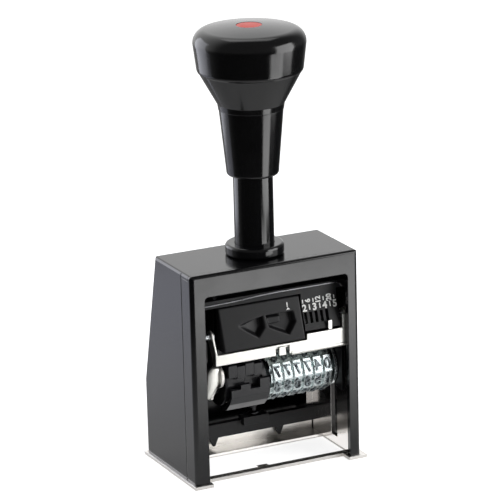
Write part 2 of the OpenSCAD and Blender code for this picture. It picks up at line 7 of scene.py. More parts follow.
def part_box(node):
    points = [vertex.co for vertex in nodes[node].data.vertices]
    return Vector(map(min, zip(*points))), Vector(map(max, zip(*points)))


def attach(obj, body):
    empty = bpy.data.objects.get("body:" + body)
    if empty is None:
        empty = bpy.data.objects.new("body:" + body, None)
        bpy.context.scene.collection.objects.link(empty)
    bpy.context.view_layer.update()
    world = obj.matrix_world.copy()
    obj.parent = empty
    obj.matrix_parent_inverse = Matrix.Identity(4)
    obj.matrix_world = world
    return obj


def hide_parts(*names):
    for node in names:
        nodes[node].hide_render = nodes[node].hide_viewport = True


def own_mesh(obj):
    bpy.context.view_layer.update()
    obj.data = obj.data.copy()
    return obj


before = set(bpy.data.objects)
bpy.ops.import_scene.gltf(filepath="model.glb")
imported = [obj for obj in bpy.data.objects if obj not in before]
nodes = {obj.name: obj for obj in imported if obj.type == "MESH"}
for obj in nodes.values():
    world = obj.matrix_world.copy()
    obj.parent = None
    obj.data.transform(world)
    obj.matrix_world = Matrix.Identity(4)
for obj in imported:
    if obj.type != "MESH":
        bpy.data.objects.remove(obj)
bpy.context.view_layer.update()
mm = 0.001
scene = bpy.context.scene
print("frame loaded:", len(nodes), "nodes")


def linear(hexColour):  # sRGB hex to linear RGBA
    parts = [int(hexColour[i:i + 2], 16) / 255 for i in (1, 3, 5)]
    return [c / 12.92 if c <= 0.04045 else ((c + 0.055) / 1.055) ** 2.4 for c in parts] + [1]


def addNode(tree, kind, sockets=None, **settings):
    node = tree.nodes.new(kind)
    for name, value in settings.items():
        setattr(node, name, value)
    for name, value in (sockets or {}).items():
        if isinstance(value, bpy.types.NodeSocket):
            tree.links.new(value, node.inputs[name])
        else:
            node.inputs[name].default_value = value
    return node


def newSurface(name, **sockets):
    surface = bpy.data.materials.new(name)
    surface.use_nodes = True
    tree = surface.node_tree
    shader = tree.nodes["Principled BSDF"]
    for socket, value in sockets.items():
        shader.inputs[socket.replace("_", " ")].default_value = value
    place = addNode(tree, "ShaderNodeTexCoord").outputs["Object"]
    return surface, tree, shader, place


# camera: long lens, a little above and to the left of the front
cameraSet = {"place": (-476.434, -980.362, 407.255), "forward": (0.41716, 0.86174, -0.28875),
             "rollDegrees": -1.5, "lens": 233.7, "sensor": 36, "nearest": 50}
forward = Vector(cameraSet["forward"]).normalized()
level = forward.cross(Vector((0, 0, 1))).normalized()
roll = math.radians(cameraSet["rollDegrees"])
right = level * math.cos(roll) + level.cross(forward) * math.sin(roll)
camera = bpy.data.objects.new("camera", bpy.data.cameras.new("camera"))
camera.data.lens = cameraSet["lens"]
camera.data.sensor_width = cameraSet["sensor"]
camera.data.clip_start = cameraSet["nearest"] * mm
camera.matrix_world = Matrix.Translation(Vector(cameraSet["place"]) * mm) @ Matrix(
    (right, right.cross(forward), -forward)).transposed().to_4x4()
scene.collection.objects.link(camera)
scene.camera = camera
scene.view_settings.view_transform = "Standard"
print("camera set")

# studio: white to the eye, while shiny parts mirror a dim room that is brighter behind the machine
studio = {"ambient": 0.30, "back": 1.25, "dark": 0.16, "backTowards": (-0.17, 0.98, 0.10),
          "backStarts": 0.15, "backFull": 0.85,
          "lowest": -0.3, "lowestShare": 0.2}  # the mirrored room fades to this share below the horizon
# soft boxes at the front right, behind on the left and overhead: turn in degrees, lengths in metres
softBoxes = {
    "frontRight": {"turn": 320, "away": 0.42, "width": 0.33, "low": -0.03, "high": 0.36,
                   "glow": 4.4, "tint": "#ffffff"},
    "frontLow": {"turn": 303, "away": 0.42, "width": 0.22, "low": -0.26, "high": -0.035,
                 "glow": 4.6, "tint": "#ffffff"},
    "backLeftLow": {"turn": 128, "away": 0.50, "width": 0.42, "low": -0.26, "high": -0.07,
                    "glow": 0.85, "tint": "#e6e9fc"},
    "backLeftHigh": {"turn": 125, "away": 0.50, "width": 0.38, "low": -0.06, "high": 0.40,
                     "glow": 2.2, "tint": "#eef0fc"},
    "overhead": {"turn": 64, "away": 0.30, "width": 0.60, "low": 0.75, "high": 1.1,
                 "glow": 1.4, "tint": "#ffffff"}}
boxesAimAt = Vector((0, 0, 0.07))
# the white paper under the printing window, which lights the mechanism from below: millimetres
paperGlow = {"glow": 0.9, "wide": 58.0, "deep": 16.5, "x": 0.5, "y": 1.6, "above": 0.1}
# pale sweep under the machine, which fades out of mirrored views at a distance: metres
floorLook = {"wide": 3.0, "drop": 0.0002, "fadeStarts": 0.05, "fadeEnds": 0.22,
             "glow": 0.80, "mirroredGlow": 0.3}

world = bpy.data.worlds.new("studioWorld")
scene.world = world
world.use_nodes = True
air = world.node_tree
rays = addNode(air, "ShaderNodeLightPath").outputs
shiny = addNode(air, "ShaderNodeMath", {
    0: rays["Is Glossy Ray"], 1: rays["Is Transmission Ray"]}, operation="MAXIMUM")
direction = addNode(air, "ShaderNodeTexCoord").outputs["Generated"]
towardsBack = addNode(air, "ShaderNodeVectorMath", {
    0: direction, 1: studio["backTowards"]}, operation="DOT_PRODUCT")
height = addNode(air, "ShaderNodeSeparateXYZ", {0: direction}).outputs["Z"]
aboveFloor = addNode(air, "ShaderNodeMapRange", {
    "Value": height, "From Min": studio["lowest"], "From Max": 0.0, "To Min": studio["lowestShare"]})
backGlow = addNode(air, "ShaderNodeMapRange", {
    "Value": towardsBack.outputs["Value"], "From Min": studio["backStarts"], "From Max": studio["backFull"],
    "To Min": studio["dark"], "To Max": studio["back"]}, interpolation_type="SMOOTHSTEP")
mirrored = addNode(air, "ShaderNodeMath", {
    0: backGlow.outputs["Result"], 1: aboveFloor.outputs["Result"]}, operation="MULTIPLY")
glow = addNode(air, "ShaderNodeMix", {
    "Factor": shiny.outputs[0], "A": studio["ambient"], "B": mirrored.outputs[0]}, data_type="FLOAT")
glow = addNode(air, "ShaderNodeMix", {
    "Factor": rays["Is Camera Ray"], "A": glow.outputs["Result"], "B": 1.0}, data_type="FLOAT")
air.links.new(glow.outputs["Result"], air.nodes["Background"].inputs["Strength"])
air.nodes["Background"].inputs["Color"].default_value = linear("#ffffff")


def softBox(name, wide, tall, glow):
    lamp = bpy.data.objects.new(name, bpy.data.lights.new(name, "AREA"))
    lamp.data.shape = "RECTANGLE"
    lamp.data.size = wide
    lamp.data.size_y = tall
    lamp.data.energy = glow * math.pi * wide * tall  # an area lamp's watts for this brightness
    lamp.visible_camera = False
    scene.collection.objects.link(lamp)
    return lamp


for name, box in softBoxes.items():
    tall = box["high"] - box["low"]
    lamp = softBox(name, box["width"], tall, box["glow"])
    lamp.data.color = linear(box["tint"])[:3]
    turn = math.radians(box["turn"])
    lamp.location = (box["away"] * math.cos(turn), box["away"] * math.sin(turn), box["low"] + tall / 2)
    aim = boxesAimAt - lamp.location
    if name != "overhead":  # the standing boxes face level
        aim.z = 0
    lamp.rotation_euler = aim.to_track_quat("-Z", "Y").to_euler()

lamp = softBox("paperGlow", paperGlow["wide"] * mm, paperGlow["deep"] * mm, paperGlow["glow"])
lamp.location = (paperGlow["x"] * mm, paperGlow["y"] * mm, paperGlow["above"] * mm)
lamp.rotation_euler.x = math.pi  # shines upwards

side = floorLook["wide"] / 2
floorMesh = bpy.data.meshes.new("floor")
corners = [(-side, -side, 0), (side, -side, 0), (side, side, 0), (-side, side, 0)]
floorMesh.from_pydata(corners, [], [(0, 1, 2, 3)])
floor = bpy.data.objects.new("floor", floorMesh)
floor.location.z = -floorLook["drop"]
scene.collection.objects.link(floor)
# matt white paper sweep: even and shadeless but for soft contact shadows
paper, tree, shader, place = newSurface("whiteSweep", Base_Color=linear("#f4f4f4"), Roughness=0.9)
rays = addNode(tree, "ShaderNodeLightPath").outputs
distance = addNode(tree, "ShaderNodeVectorMath", {0: place}, operation="LENGTH")
beyond = addNode(tree, "ShaderNodeMapRange", {
    "Value": distance.outputs["Value"],
    "From Min": floorLook["fadeStarts"], "From Max": floorLook["fadeEnds"]})
shiny = addNode(tree, "ShaderNodeMath", {
    0: rays["Is Glossy Ray"], 1: rays["Is Transmission Ray"]}, operation="MAXIMUM")
seenThrough = addNode(tree, "ShaderNodeMath", {
    0: shiny.outputs[0], 1: beyond.outputs["Result"]}, operation="MULTIPLY")
glowing = addNode(tree, "ShaderNodeMix", {
    "Factor": rays["Is Camera Ray"],
    "A": floorLook["mirroredGlow"], "B": floorLook["glow"]}, data_type="FLOAT")
seen = addNode(tree, "ShaderNodeMath", {0: shiny.outputs[0], 1: rays["Is Camera Ray"]}, operation="MAXIMUM")
strength = addNode(tree, "ShaderNodeMath", {
    0: glowing.outputs["Result"], 1: seen.outputs[0]}, operation="MULTIPLY")
white = addNode(tree, "ShaderNodeEmission", {"Color": linear("#ffffff"), "Strength": strength.outputs[0]})
shadowed = addNode(tree, "ShaderNodeAddShader", {0: white.outputs[0], 1: shader.outputs[0]})
clear = addNode(tree, "ShaderNodeBsdfTransparent")
sweep = addNode(tree, "ShaderNodeMixShader", {
    "Fac": seenThrough.outputs[0], 1: shadowed.outputs[0], 2: clear.outputs[0]})
tree.links.new(sweep.outputs[0], tree.nodes["Material Output"].inputs["Surface"])
floor.data.materials.append(paper)
print("studio lit")


# how far moulding, drawing and wear show, in millimetres and shares
plasticSkin = {"dustMm": 14, "waveDeepMm": 0.2, "grainDeepMm": 0.05,
               "smoothest": 0.85, "roughest": 1.25, "wear": 0.7}
metalSkin = {"lineDeepMm": 0.06, "dentDeepMm": 0.5, "smoothest": 0.8, "roughest": 1.3, "wear": 0.8}
edgeTurn = {"starts": 0.995, "full": 0.85, "samples": 6}  # where a bevelled normal turns, the edge shows wear
noiseLow, noiseHigh = 0.3, 0.7  # most of a noise's values lie between these


def mouldedPlastic(name, look):
    # moulded against a polished or grained steel mould: a clean gloss that waves a little, soft light edges
    surface, tree, shader, place = newSurface(name, Specular_IOR_Level=look["gloss"])
    waves = addNode(tree, "ShaderNodeTexNoise", {
        "Vector": place, "Scale": 1 / (look["waveMm"] * mm), "Detail": 2.0})
    grain = addNode(tree, "ShaderNodeTexNoise", {
        "Vector": place, "Scale": 1 / (look["grainMm"] * mm), "Detail": 3.0})
    dust = addNode(tree, "ShaderNodeTexNoise", {
        "Vector": place, "Scale": 1 / (plasticSkin["dustMm"] * mm), "Detail": 5.0, "Roughness": 0.7})
    rounded = addNode(tree, "ShaderNodeBevel", {"Radius": look["edgeMm"] * mm}, samples=edgeTurn["samples"])
    wavy = addNode(tree, "ShaderNodeBump", {
        "Height": waves.outputs["Fac"], "Strength": look["wave"],
        "Distance": plasticSkin["waveDeepMm"] * mm, "Normal": rounded.outputs[0]})
    grained = addNode(tree, "ShaderNodeBump", {
        "Height": grain.outputs["Fac"], "Strength": look["grain"],
        "Distance": plasticSkin["grainDeepMm"] * mm, "Normal": wavy.outputs[0]})
    tree.links.new(grained.outputs[0], shader.inputs["Normal"])
    rough = addNode(tree, "ShaderNodeMapRange", {
        "Value": dust.outputs["Fac"], "From Min": noiseLow, "From Max": noiseHigh,
        "To Min": look["rough"] * plasticSkin["smoothest"],
        "To Max": look["rough"] * plasticSkin["roughest"]})
    tree.links.new(rough.outputs["Result"], shader.inputs["Roughness"])
    normal = addNode(tree, "ShaderNodeNewGeometry").outputs["Normal"]
    straight = addNode(tree, "ShaderNodeVectorMath", {
        0: normal, 1: rounded.outputs[0]}, operation="DOT_PRODUCT")
    edge = addNode(tree, "ShaderNodeMapRange", {
        "Value": straight.outputs["Value"], "From Min": edgeTurn["starts"], "From Max": edgeTurn["full"],
        "To Max": plasticSkin["wear"]})
    speckled = addNode(tree, "ShaderNodeMix", {
        "Factor": dust.outputs["Fac"], "A": linear(look["colour"]),
        "B": linear(look["dust"])}, data_type="RGBA")
    worn = addNode(tree, "ShaderNodeMix", {
        "Factor": edge.outputs["Result"], "A": speckled.outputs["Result"],
        "B": linear(look["edge"])}, data_type="RGBA")
    tree.links.new(worn.outputs["Result"], shader.inputs["Base Color"])
    return surface


def platedMetal(name, look):
    # rolled or pressed sheet, plated bright: fine lines one way, faint cloudy stains, brighter rubbed edges
    surface, tree, shader, place = newSurface(name, Metallic=1.0)
    stretch = addNode(tree, "ShaderNodeMapping", {"Vector": place, "Scale": look["stretch"]})
    lines = addNode(tree, "ShaderNodeTexNoise", {
        "Vector": stretch.outputs[0], "Scale": 1 / (look["lineMm"] * mm), "Detail": 4.0})
    cloud = addNode(tree, "ShaderNodeTexNoise", {
        "Vector": place, "Scale": 1 / (look["cloudMm"] * mm), "Detail": 4.0, "Distortion": 0.6})
    rounded = addNode(tree, "ShaderNodeBevel", {"Radius": look["edgeMm"] * mm}, samples=edgeTurn["samples"])
    drawn = addNode(tree, "ShaderNodeBump", {
        "Height": lines.outputs["Fac"], "Strength": look["lines"],
        "Distance": metalSkin["lineDeepMm"] * mm, "Normal": rounded.outputs[0]})
    dented = addNode(tree, "ShaderNodeBump", {
        "Height": cloud.outputs["Fac"], "Strength": look["dents"],
        "Distance": metalSkin["dentDeepMm"] * mm, "Normal": drawn.outputs[0]})
    tree.links.new(dented.outputs[0], shader.inputs["Normal"])
    rough = addNode(tree, "ShaderNodeMapRange", {
        "Value": lines.outputs["Fac"], "From Min": noiseLow, "From Max": noiseHigh,
        "To Min": look["rough"] * metalSkin["smoothest"], "To Max": look["rough"] * metalSkin["roughest"]})
    tree.links.new(rough.outputs["Result"], shader.inputs["Roughness"])
    normal = addNode(tree, "ShaderNodeNewGeometry").outputs["Normal"]
    straight = addNode(tree, "ShaderNodeVectorMath", {
        0: normal, 1: rounded.outputs[0]}, operation="DOT_PRODUCT")
    edge = addNode(tree, "ShaderNodeMapRange", {
        "Value": straight.outputs["Value"], "From Min": edgeTurn["starts"], "From Max": edgeTurn["full"],
        "To Max": metalSkin["wear"]})
    tinted = addNode(tree, "ShaderNodeMix", {
        "Factor": cloud.outputs["Fac"], "A": linear(look["colour"]),
        "B": linear(look["tint"])}, data_type="RGBA")
    worn = addNode(tree, "ShaderNodeMix", {
        "Factor": edge.outputs["Result"], "A": tinted.outputs["Result"],
        "B": linear(look["edge"])}, data_type="RGBA")
    tree.links.new(worn.outputs["Result"], shader.inputs["Base Color"])
    return surface


# mould grain of about 0.1 mm is too fine to show, so it is drawn two to four times coarser
plastics = {
    # ABS from a polished mould: mirror-like black with a faint slow wave
    "polishedBlackAbs": {
        "colour": "#08080a", "dust": "#0b0b0d", "edge": "#1c1c20", "gloss": 0.5, "rough": 0.13,
        "waveMm": 9, "wave": 0.05, "grainMm": 0.35, "grain": 0.03, "edgeMm": 0.4},
    # the same moulded ABS, rubbed by hands: a touch softer in its highlights
    "handledBlackAbs": {
        "colour": "#070708", "dust": "#0a0a0b", "edge": "#1a1a1d", "gloss": 0.5, "rough": 0.15,
        "waveMm": 12, "wave": 0.03, "grainMm": 0.4, "grain": 0.04, "edgeMm": 0.3},
    # steel tube, blackened and lacquered: the deepest black, tight highlights
    "lacqueredBlackTube": {
        "colour": "#060607", "dust": "#08080a", "edge": "#161618", "gloss": 0.5, "rough": 0.10,
        "waveMm": 6, "wave": 0.02, "grainMm": 0.3, "grain": 0.02, "edgeMm": 0.2},
    # nylon from a grained mould: grey-black and dull, with paler dusty patches
    "grainedBlackNylon": {
        "colour": "#0f0f10", "dust": "#19191b", "edge": "#343437", "gloss": 0.28, "rough": 0.40,
        "waveMm": 5, "wave": 0.05, "grainMm": 0.22, "grain": 0.25, "edgeMm": 0.18},
    # moulded nylon that works in ink and oil: grey-black with a greasy sheen
    "oiledBlackNylon": {
        "colour": "#121214", "dust": "#1c1c20", "edge": "#34343a", "gloss": 0.45, "rough": 0.32,
        "waveMm": 3, "wave": 0.1, "grainMm": 0.25, "grain": 0.2, "edgeMm": 0.15},
    # clear polystyrene from a smooth mould: a bright orange-red disc with a soft gleam
    "redPolystyrene": {
        "colour": "#ff3a26", "dust": "#fb3320", "edge": "#ff5a44", "gloss": 0.15, "rough": 0.3,
        "waveMm": 3, "wave": 0.05, "grainMm": 0.3, "grain": 0.04, "edgeMm": 0.15}}
# drawing and turning lines of about 0.05 mm are too fine to show, so they are drawn four to ten times coarser
metals = {
    # bright nickel on pressed sheet: near-white with faint drawing lines
    "nickelPlatedSheet": {
        "colour": "#efece8", "tint": "#dfdcd8", "edge": "#fbfaf8", "rough": 0.32, "stretch": (0.06, 1, 1),
        "lineMm": 0.22, "lines": 0.25, "cloudMm": 6, "dents": 0.05, "edgeMm": 0.15},
    # grey metal bead that paints the highlight the black nylon lip catches: a painted highlight, an even grey
    # gleam
    "greyBeadPaintedHighlight": {
        "colour": "#9a9a9d", "tint": "#77777a", "edge": "#b4b4b6", "rough": 0.3, "stretch": (0.1, 1, 1),
        "lineMm": 0.3, "lines": 0.1, "cloudMm": 6, "dents": 0.05, "edgeMm": 0.1},
    # bent strip, tumbled and nickel plated: almost white with a soft sheen
    "tumbledNickel": {
        "colour": "#e6e5df", "tint": "#d8d8d3", "edge": "#f2f2ee", "rough": 0.36, "stretch": (0.1, 1, 1),
        "lineMm": 0.3, "lines": 0.12, "cloudMm": 5, "dents": 0.04, "edgeMm": 0.25},
    # sheet, polished and nickel plated: a mirror for the white paper below and the dark casing above
    "polishedNickel": {
        "colour": "#dedbd8", "tint": "#cfcbc9", "edge": "#f2f0ee", "rough": 0.16, "stretch": (1, 1, 0.1),
        "lineMm": 0.25, "lines": 0.05, "cloudMm": 7, "dents": 0.12, "edgeMm": 0.15},
    # cold-drawn spring wire under old oil: dark grey with a dull gleam
    "oiledSpringSteel": {
        "colour": "#4a4a4c", "tint": "#2e2e30", "edge": "#77787a", "rough": 0.35, "stretch": (1, 1, 1),
        "lineMm": 0.3, "lines": 0.15, "cloudMm": 2, "dents": 0.04, "edgeMm": 0.05},
    # pressed sheet, zinc plated: bluish, cloudier and duller than nickel
    "zincPlatedSheet": {
        "colour": "#c3c8cc", "tint": "#a9b0b6", "edge": "#e4e8ea", "rough": 0.33, "stretch": (1, 1, 0.08),
        "lineMm": 0.25, "lines": 0.35, "cloudMm": 4, "dents": 0.1, "edgeMm": 0.15},
    # steel bar, turned and plated: bright with fine lines around the turning axis
    "turnedSteel": {
        "colour": "#cfd2d4", "tint": "#b8bdc0", "edge": "#eceeee", "rough": 0.24, "stretch": (1, 0.1, 0.1),
        "lineMm": 0.2, "lines": 0.25, "cloudMm": 3, "dents": 0.04, "edgeMm": 0.12},
    # die-cast zinc, plated: bright with a slightly lumpy skin
    "castPlatedWheel": {
        "colour": "#dfe6e6", "tint": "#c3cfd0", "edge": "#f4f8f8", "rough": 0.26, "stretch": (1, 1, 1),
        "lineMm": 0.5, "lines": 0.12, "cloudMm": 2.4, "dents": 0.10, "edgeMm": 0.2},
    # pressed steel, oxide blackened: dark with a metallic sheen
    "blackenedSteel": {
        "colour": "#2a2a2c", "tint": "#1c1c1e", "edge": "#5a5b5e", "rough": 0.38, "stretch": (1, 1, 0.1),
        "lineMm": 0.25, "lines": 0.3, "cloudMm": 5, "dents": 0.08, "edgeMm": 0.15}}
surfaces = {name: mouldedPlastic(name, look) for name, look in plastics.items()}
surfaces.update({name: platedMetal(name, look) for name, look in metals.items()})

wheelNames = ["number_wheel_%d" % i for i in range(1, 7)]
nodeFinish = {
    "polishedBlackAbs": ["front_frame", "rear_shell", "collar"],
    "handledBlackAbs": ["grip_sleeve", "knob"],
    "lacqueredBlackTube": ["stem"],
    "grainedBlackNylon": ["selector_panel", "ink_cartridge", "pointer_rail", "crosshead"],
    "oiledBlackNylon": ["blank_spacers", "shims", "stepped_comb"],
    "redPolystyrene": ["knob_cap"],
    "nickelPlatedSheet": ["base_plate", "cam_crank", "repeat_selector"],
    "tumbledNickel": ["pad_frame", "pad_clip"],
    "polishedNickel": ["right_guide_plate"],
    "zincPlatedSheet": ["feed_pawl", "collar_nut", "base_screws", "crosshead_screws", "knob_screw"],
    "turnedSteel": ["wheel_axle", "axle_clip", "tie_rod", "frame_pins"],
    "castPlatedWheel": wheelNames + ["end_ring"],
    "blackenedSteel": ["left_guide_plate", "left_fork_arm", "right_fork_arm", "inner_cheek"],
    "oiledSpringSteel": ["return_spring", "spring_guide_rod"]}
for finish, names in nodeFinish.items():
    for name in names:
        nodes[name].data.materials.clear()
        nodes[name].data.materials.append(surfaces[finish])
print("surfaces on the frame:", sum(len(names) for names in nodeFinish.values()))


def newPiece(name, mesh, surface, body, smooth=True):
    piece = bpy.data.objects.new(name, mesh)
    scene.collection.objects.link(piece)
    mesh.materials.clear()
    mesh.materials.append(surface)
    if smooth:
        mesh.shade_smooth()
    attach(piece, body)
    return piece


def meshFrom(name, points, faces):
    mesh = bpy.data.meshes.new(name)
    mesh.from_pydata(points, [], faces)
    mesh.update()
    return mesh


def meshBox(mesh):
    columns = list(zip(*(vertex.co for vertex in mesh.vertices)))
    return [min(column) for column in columns], [max(column) for column in columns]


def joined(name, meshes):  # several meshes as one
    points, faces = [], []
    for mesh in meshes:
        start = len(points)
        points += [tuple(vertex.co) for vertex in mesh.vertices]
        faces += [tuple(start + corner for corner in face.vertices) for face in mesh.polygons]
    return meshFrom(name, points, faces)


capitalShare = 0.73  # capital height of the built-in face at size 1


def letters(text, tall, thick, bold=0.02):  # a mesh with its middle at the origin, standing in XY
    curve = bpy.data.curves.new("letters", "FONT")
    curve.body = text
    curve.align_x = "CENTER"
    curve.align_y = "CENTER"
    curve.size = tall / capitalShare
    curve.extrude = thick / 2
    curve.offset = bold * tall
    curve.resolution_u = 3
    holder = bpy.data.objects.new("letters", curve)
    scene.collection.objects.link(holder)
    bpy.context.view_layer.update()
    mesh = bpy.data.meshes.new_from_object(holder)
    bpy.data.objects.remove(holder)
    middle = sum((Vector(corner) for corner in meshBox(mesh)), Vector()) / 2
    mesh.transform(Matrix.Translation(-middle))
    return mesh


# raised figures on the wheels: mirrored, one to each flat, a trace of ink on their faces
figureSet = {"flats": 10, "tall": 4.2, "wide": 2.35, "thick": 0.75, "sunk": 0.3,
             "aside": 0.47,  # the toothed ring takes the left edge of each wheel
             "first": [5, 5, 5, 5, 2, 8]}  # the figure that stands over the axle, wheel by wheel
axle = [(low + high) / 2 for low, high in zip(*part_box("wheel_axle"))]


def figureRing(number):
    low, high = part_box(wheelNames[number])
    drumMiddle = (low.x + high.x) / 2 + figureSet["aside"] * mm
    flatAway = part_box("number_wheel_1")[1].z - axle[2]
    standing = flatAway + (figureSet["thick"] / 2 - figureSet["sunk"]) * mm
    flats = figureSet["flats"]
    ring = []
    for place in range(flats):
        digit = str((figureSet["first"][number] + place) % flats)
        figure = letters(digit, figureSet["tall"] * mm, figureSet["thick"] * mm)
        low, high = meshBox(figure)
        narrow = min(1, figureSet["wide"] * mm / (high[0] - low[0]))
        figure.transform(Matrix.Diagonal((-narrow, 1, 1, 1)))
        figure.flip_normals()
        turned = Matrix.Rotation(math.radians(360 / flats * place), 4, "X")
        stand = Matrix.Translation((drumMiddle, axle[1], axle[2])) @ turned
        figure.transform(stand @ Matrix.Translation((0, 0, standing)))
        ring.append(figure)
    return joined("wheelFigures%d" % (number + 1), ring)


inkFilm = {"patchMm": 1.6, "bareBelow": 0.40, "coveredAbove": 0.62, "bareRough": 0.3, "coveredRough": 0.55,
           "metal": "#9aa2a5", "ink": "#33373c", "lumpDeepMm": 0.1}


def inkedFigures():
    # cast figures that touch the pad: plated metal under a thin, uneven film of black ink
    surface, tree, shader, place = newSurface("inkedFigureMetal", Metallic=0.85)
    film = addNode(tree, "ShaderNodeTexNoise", {
        "Vector": place, "Scale": 1 / (inkFilm["patchMm"] * mm), "Detail": 4.0})
    share = addNode(tree, "ShaderNodeMapRange", {
        "Value": film.outputs["Fac"], "From Min": inkFilm["bareBelow"], "From Max": inkFilm["coveredAbove"]})
    tone = addNode(tree, "ShaderNodeMix", {
        "Factor": share.outputs["Result"], "A": linear(inkFilm["metal"]),
        "B": linear(inkFilm["ink"])}, data_type="RGBA")
    rough = addNode(tree, "ShaderNodeMapRange", {
        "Value": share.outputs["Result"], "To Min": inkFilm["bareRough"], "To Max": inkFilm["coveredRough"]})
    lumps = addNode(tree, "ShaderNodeBump", {
        "Height": film.outputs["Fac"], "Strength": 0.3, "Distance": inkFilm["lumpDeepMm"] * mm})
    tree.links.new(tone.outputs["Result"], shader.inputs["Base Color"])
    tree.links.new(rough.outputs["Result"], shader.inputs["Roughness"])
    tree.links.new(lumps.outputs[0], shader.inputs["Normal"])
    return surface


surfaces["inkedFigureMetal"] = inkedFigures()
for number in range(len(wheelNames)):
    newPiece("wheelFigures%d" % (number + 1), figureRing(number), surfaces["inkedFigureMetal"],
             "wheel_%d" % (number + 1), smooth=False)
print("wheel figures made")

# ink cartridge: a moulded block with two scooped finger wells and a raised bar between them
cartridgeLook = {"step": 0.3, "bevel": 0.45, "wall": 0.3, "leanDegrees": 18, "deep": 2.6,
                 "leftWell": [(-13.4, 55.6), (-2.3, 57.4), (-2.2, 53.4), (-5.1, 50.3)],
                 "leftFalls": (-13.4, -4.5),  # the left scoop falls away towards the middle
                 "leftSoft": 0.9, "rightSoft": 0.5,
                 "rightWell": [(-1.4, 57.4), (9.4, 57.2), (9.9, 53.6), (6.7, 49.7), (-0.6, 53.2)],
                 "bar": [(-1.4, 56.6), (4.6, 56.5), (4.2, 53.9), (-0.8, 53.9)],
                 "barSoft": (-0.2, 0.3), "barShare": 0.7}
lean = math.radians(cartridgeLook["leanDegrees"])


def insideBy(outline, x, z):  # distance inside a convex outline, negative outside
    turn = sum(a[0] * b[1] - b[0] * a[1] for a, b in zip(outline, outline[1:] + outline[:1]))
    away = []
    for a, b in zip(outline, outline[1:] + outline[:1]):
        along = (b[0] - a[0], b[1] - a[1])
        across = along[0] * (z - a[1]) - along[1] * (x - a[0])
        away.append(math.copysign(1, turn) * across / math.hypot(*along))
    return min(away)


def smooth(value, start, end):
    share = max(0, min(1, (value - start) / (end - start)))
    return share * share * (3 - 2 * share)


def wellDepth(x, z):
    look = cartridgeLook
    left = smooth(x, *look["leftFalls"]) * smooth(insideBy(look["leftWell"], x, z), 0, look["leftSoft"])
    right = smooth(insideBy(look["rightWell"], x, z), 0, look["rightSoft"])
    bar = look["barShare"] * smooth(insideBy(look["bar"], x, z), *look["barSoft"])
    return look["deep"] * max(left, right * (1 - bar))


def cartridgeMesh():
    low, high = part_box("ink_cartridge")
    look = cartridgeLook
    columns = round((high.x - low.x) / (look["step"] * mm))
    rows = round((high.z - low.z) / (look["step"] * mm))
    deepest = high.y - look["wall"] * mm
    points, faces = [], []
    for row in range(rows + 1):
        z = low.z + (high.z - low.z) * row / rows
        for column in range(columns + 1):
            x = low.x + (high.x - low.x) * column / columns
            edge = min(x - low.x, high.x - x, z - low.z, high.z - z) / mm
            rounded = look["bevel"] * (1 - math.sqrt(max(0, 1 - (1 - min(1, edge / look["bevel"])) ** 2)))
            back = low.y + (z - low.z) * math.tan(lean) + (rounded + wellDepth(x / mm, z / mm)) * mm
            points.append((x, min(back, deepest), z))
    wide = columns + 1
    for row in range(rows):
        for column in range(columns):
            corner = row * wide + column
            faces.append((corner, corner + 1, corner + wide + 1, corner + wide))
    rim = list(range(columns)) + [row * wide + columns for row in range(rows)]
    rim += [rows * wide + column for column in range(columns, 0, -1)]
    rim += [row * wide for row in range(rows, 0, -1)]
    start = len(points)
    points += [(points[corner][0], high.y, points[corner][2]) for corner in rim]
    count = len(rim)
    faces += [(rim[(i + 1) % count], rim[i], start + i, start + (i + 1) % count) for i in range(count)]
    faces.append(tuple(start + i for i in reversed(range(count))))
    return meshFrom("inkCartridge", points, faces)


cartridge = newPiece("inkCartridgeBody", cartridgeMesh(), surfaces["grainedBlackNylon"], "cartridge",
                     smooth=False)
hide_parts("ink_cartridge")
for face in cartridge.data.polygons[:-1]:
    face.use_smooth = True
backCorners = set(cartridge.data.polygons[-1].vertices)
sharp = cartridge.data.attributes.new("sharp_edge", "BOOLEAN", "EDGE")
sharp.data.foreach_set("value", [bool(backCorners & set(edge.vertices)) for edge in cartridge.data.edges])

# printed scale: white paint on the leaning face and on the cartridge, millimetres along X and Z
scale = {"thick": 0.06, "lift": 0.02, "shoulder": 2.2,
         "tall": 2.5, "bold": 0.05, "figureZ": 57.5, "figures": {"2": 14.0, "3": 18.0, "4": 22.0, "5": 26.0},
         "tick": (0.42, 1.9), "tickRise": 0.1, "ticks": [16.0, 20.1, 24.1],
         "small": 1.95, "smallBold": 0.06, "upperZ": 59.85, "upper": {"6": 15.6, "12": 19.6, "20": 23.9},
         "upperTick": (0.4, 1.4), "upperTicks": [13.65, 17.75, 21.8, 26.0],
         "cartridgeTall": 1.7, "cartridgeFigure": (7.5, 59.7), "mark": (1.5, 0.8), "markAt": (7.7, 58.35)}
faceStart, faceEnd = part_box("ink_cartridge")
shoulderY = faceStart.y + (faceEnd.z - scale["shoulder"] * mm - faceStart.z) * math.tan(lean)


def faceY(z):  # front of the leaning face at a height
    return faceStart.y + (z - faceStart.z) * math.tan(lean)


def onFace(mesh, x, z, turn=0.0):  # lays a flat mesh on the leaning face
    tilt = Matrix.Rotation(math.radians(90) - lean, 4, "X") @ Matrix.Rotation(turn, 4, "Z")
    mesh.transform(Matrix.Translation((x * mm, faceY(z * mm) - scale["lift"] * mm, z * mm)) @ tilt)
    for vertex in mesh.vertices:  # the face stands upright above the shoulder
        vertex.co.y += min(0, shoulderY - faceY(vertex.co.z))
    return mesh


def printedShape(name, outline):  # a thin plate with this outline, in millimetres
    thick, count = scale["thick"] / 2, len(outline)
    points = [(x * mm, y * mm, z * mm) for z in (-thick, thick) for x, y in outline]
    faces = [tuple(reversed(range(count))), tuple(range(count, 2 * count))]
    faces += [(i, (i + 1) % count, (i + 1) % count + count, i + count) for i in range(count)]
    return meshFrom(name, points, faces)


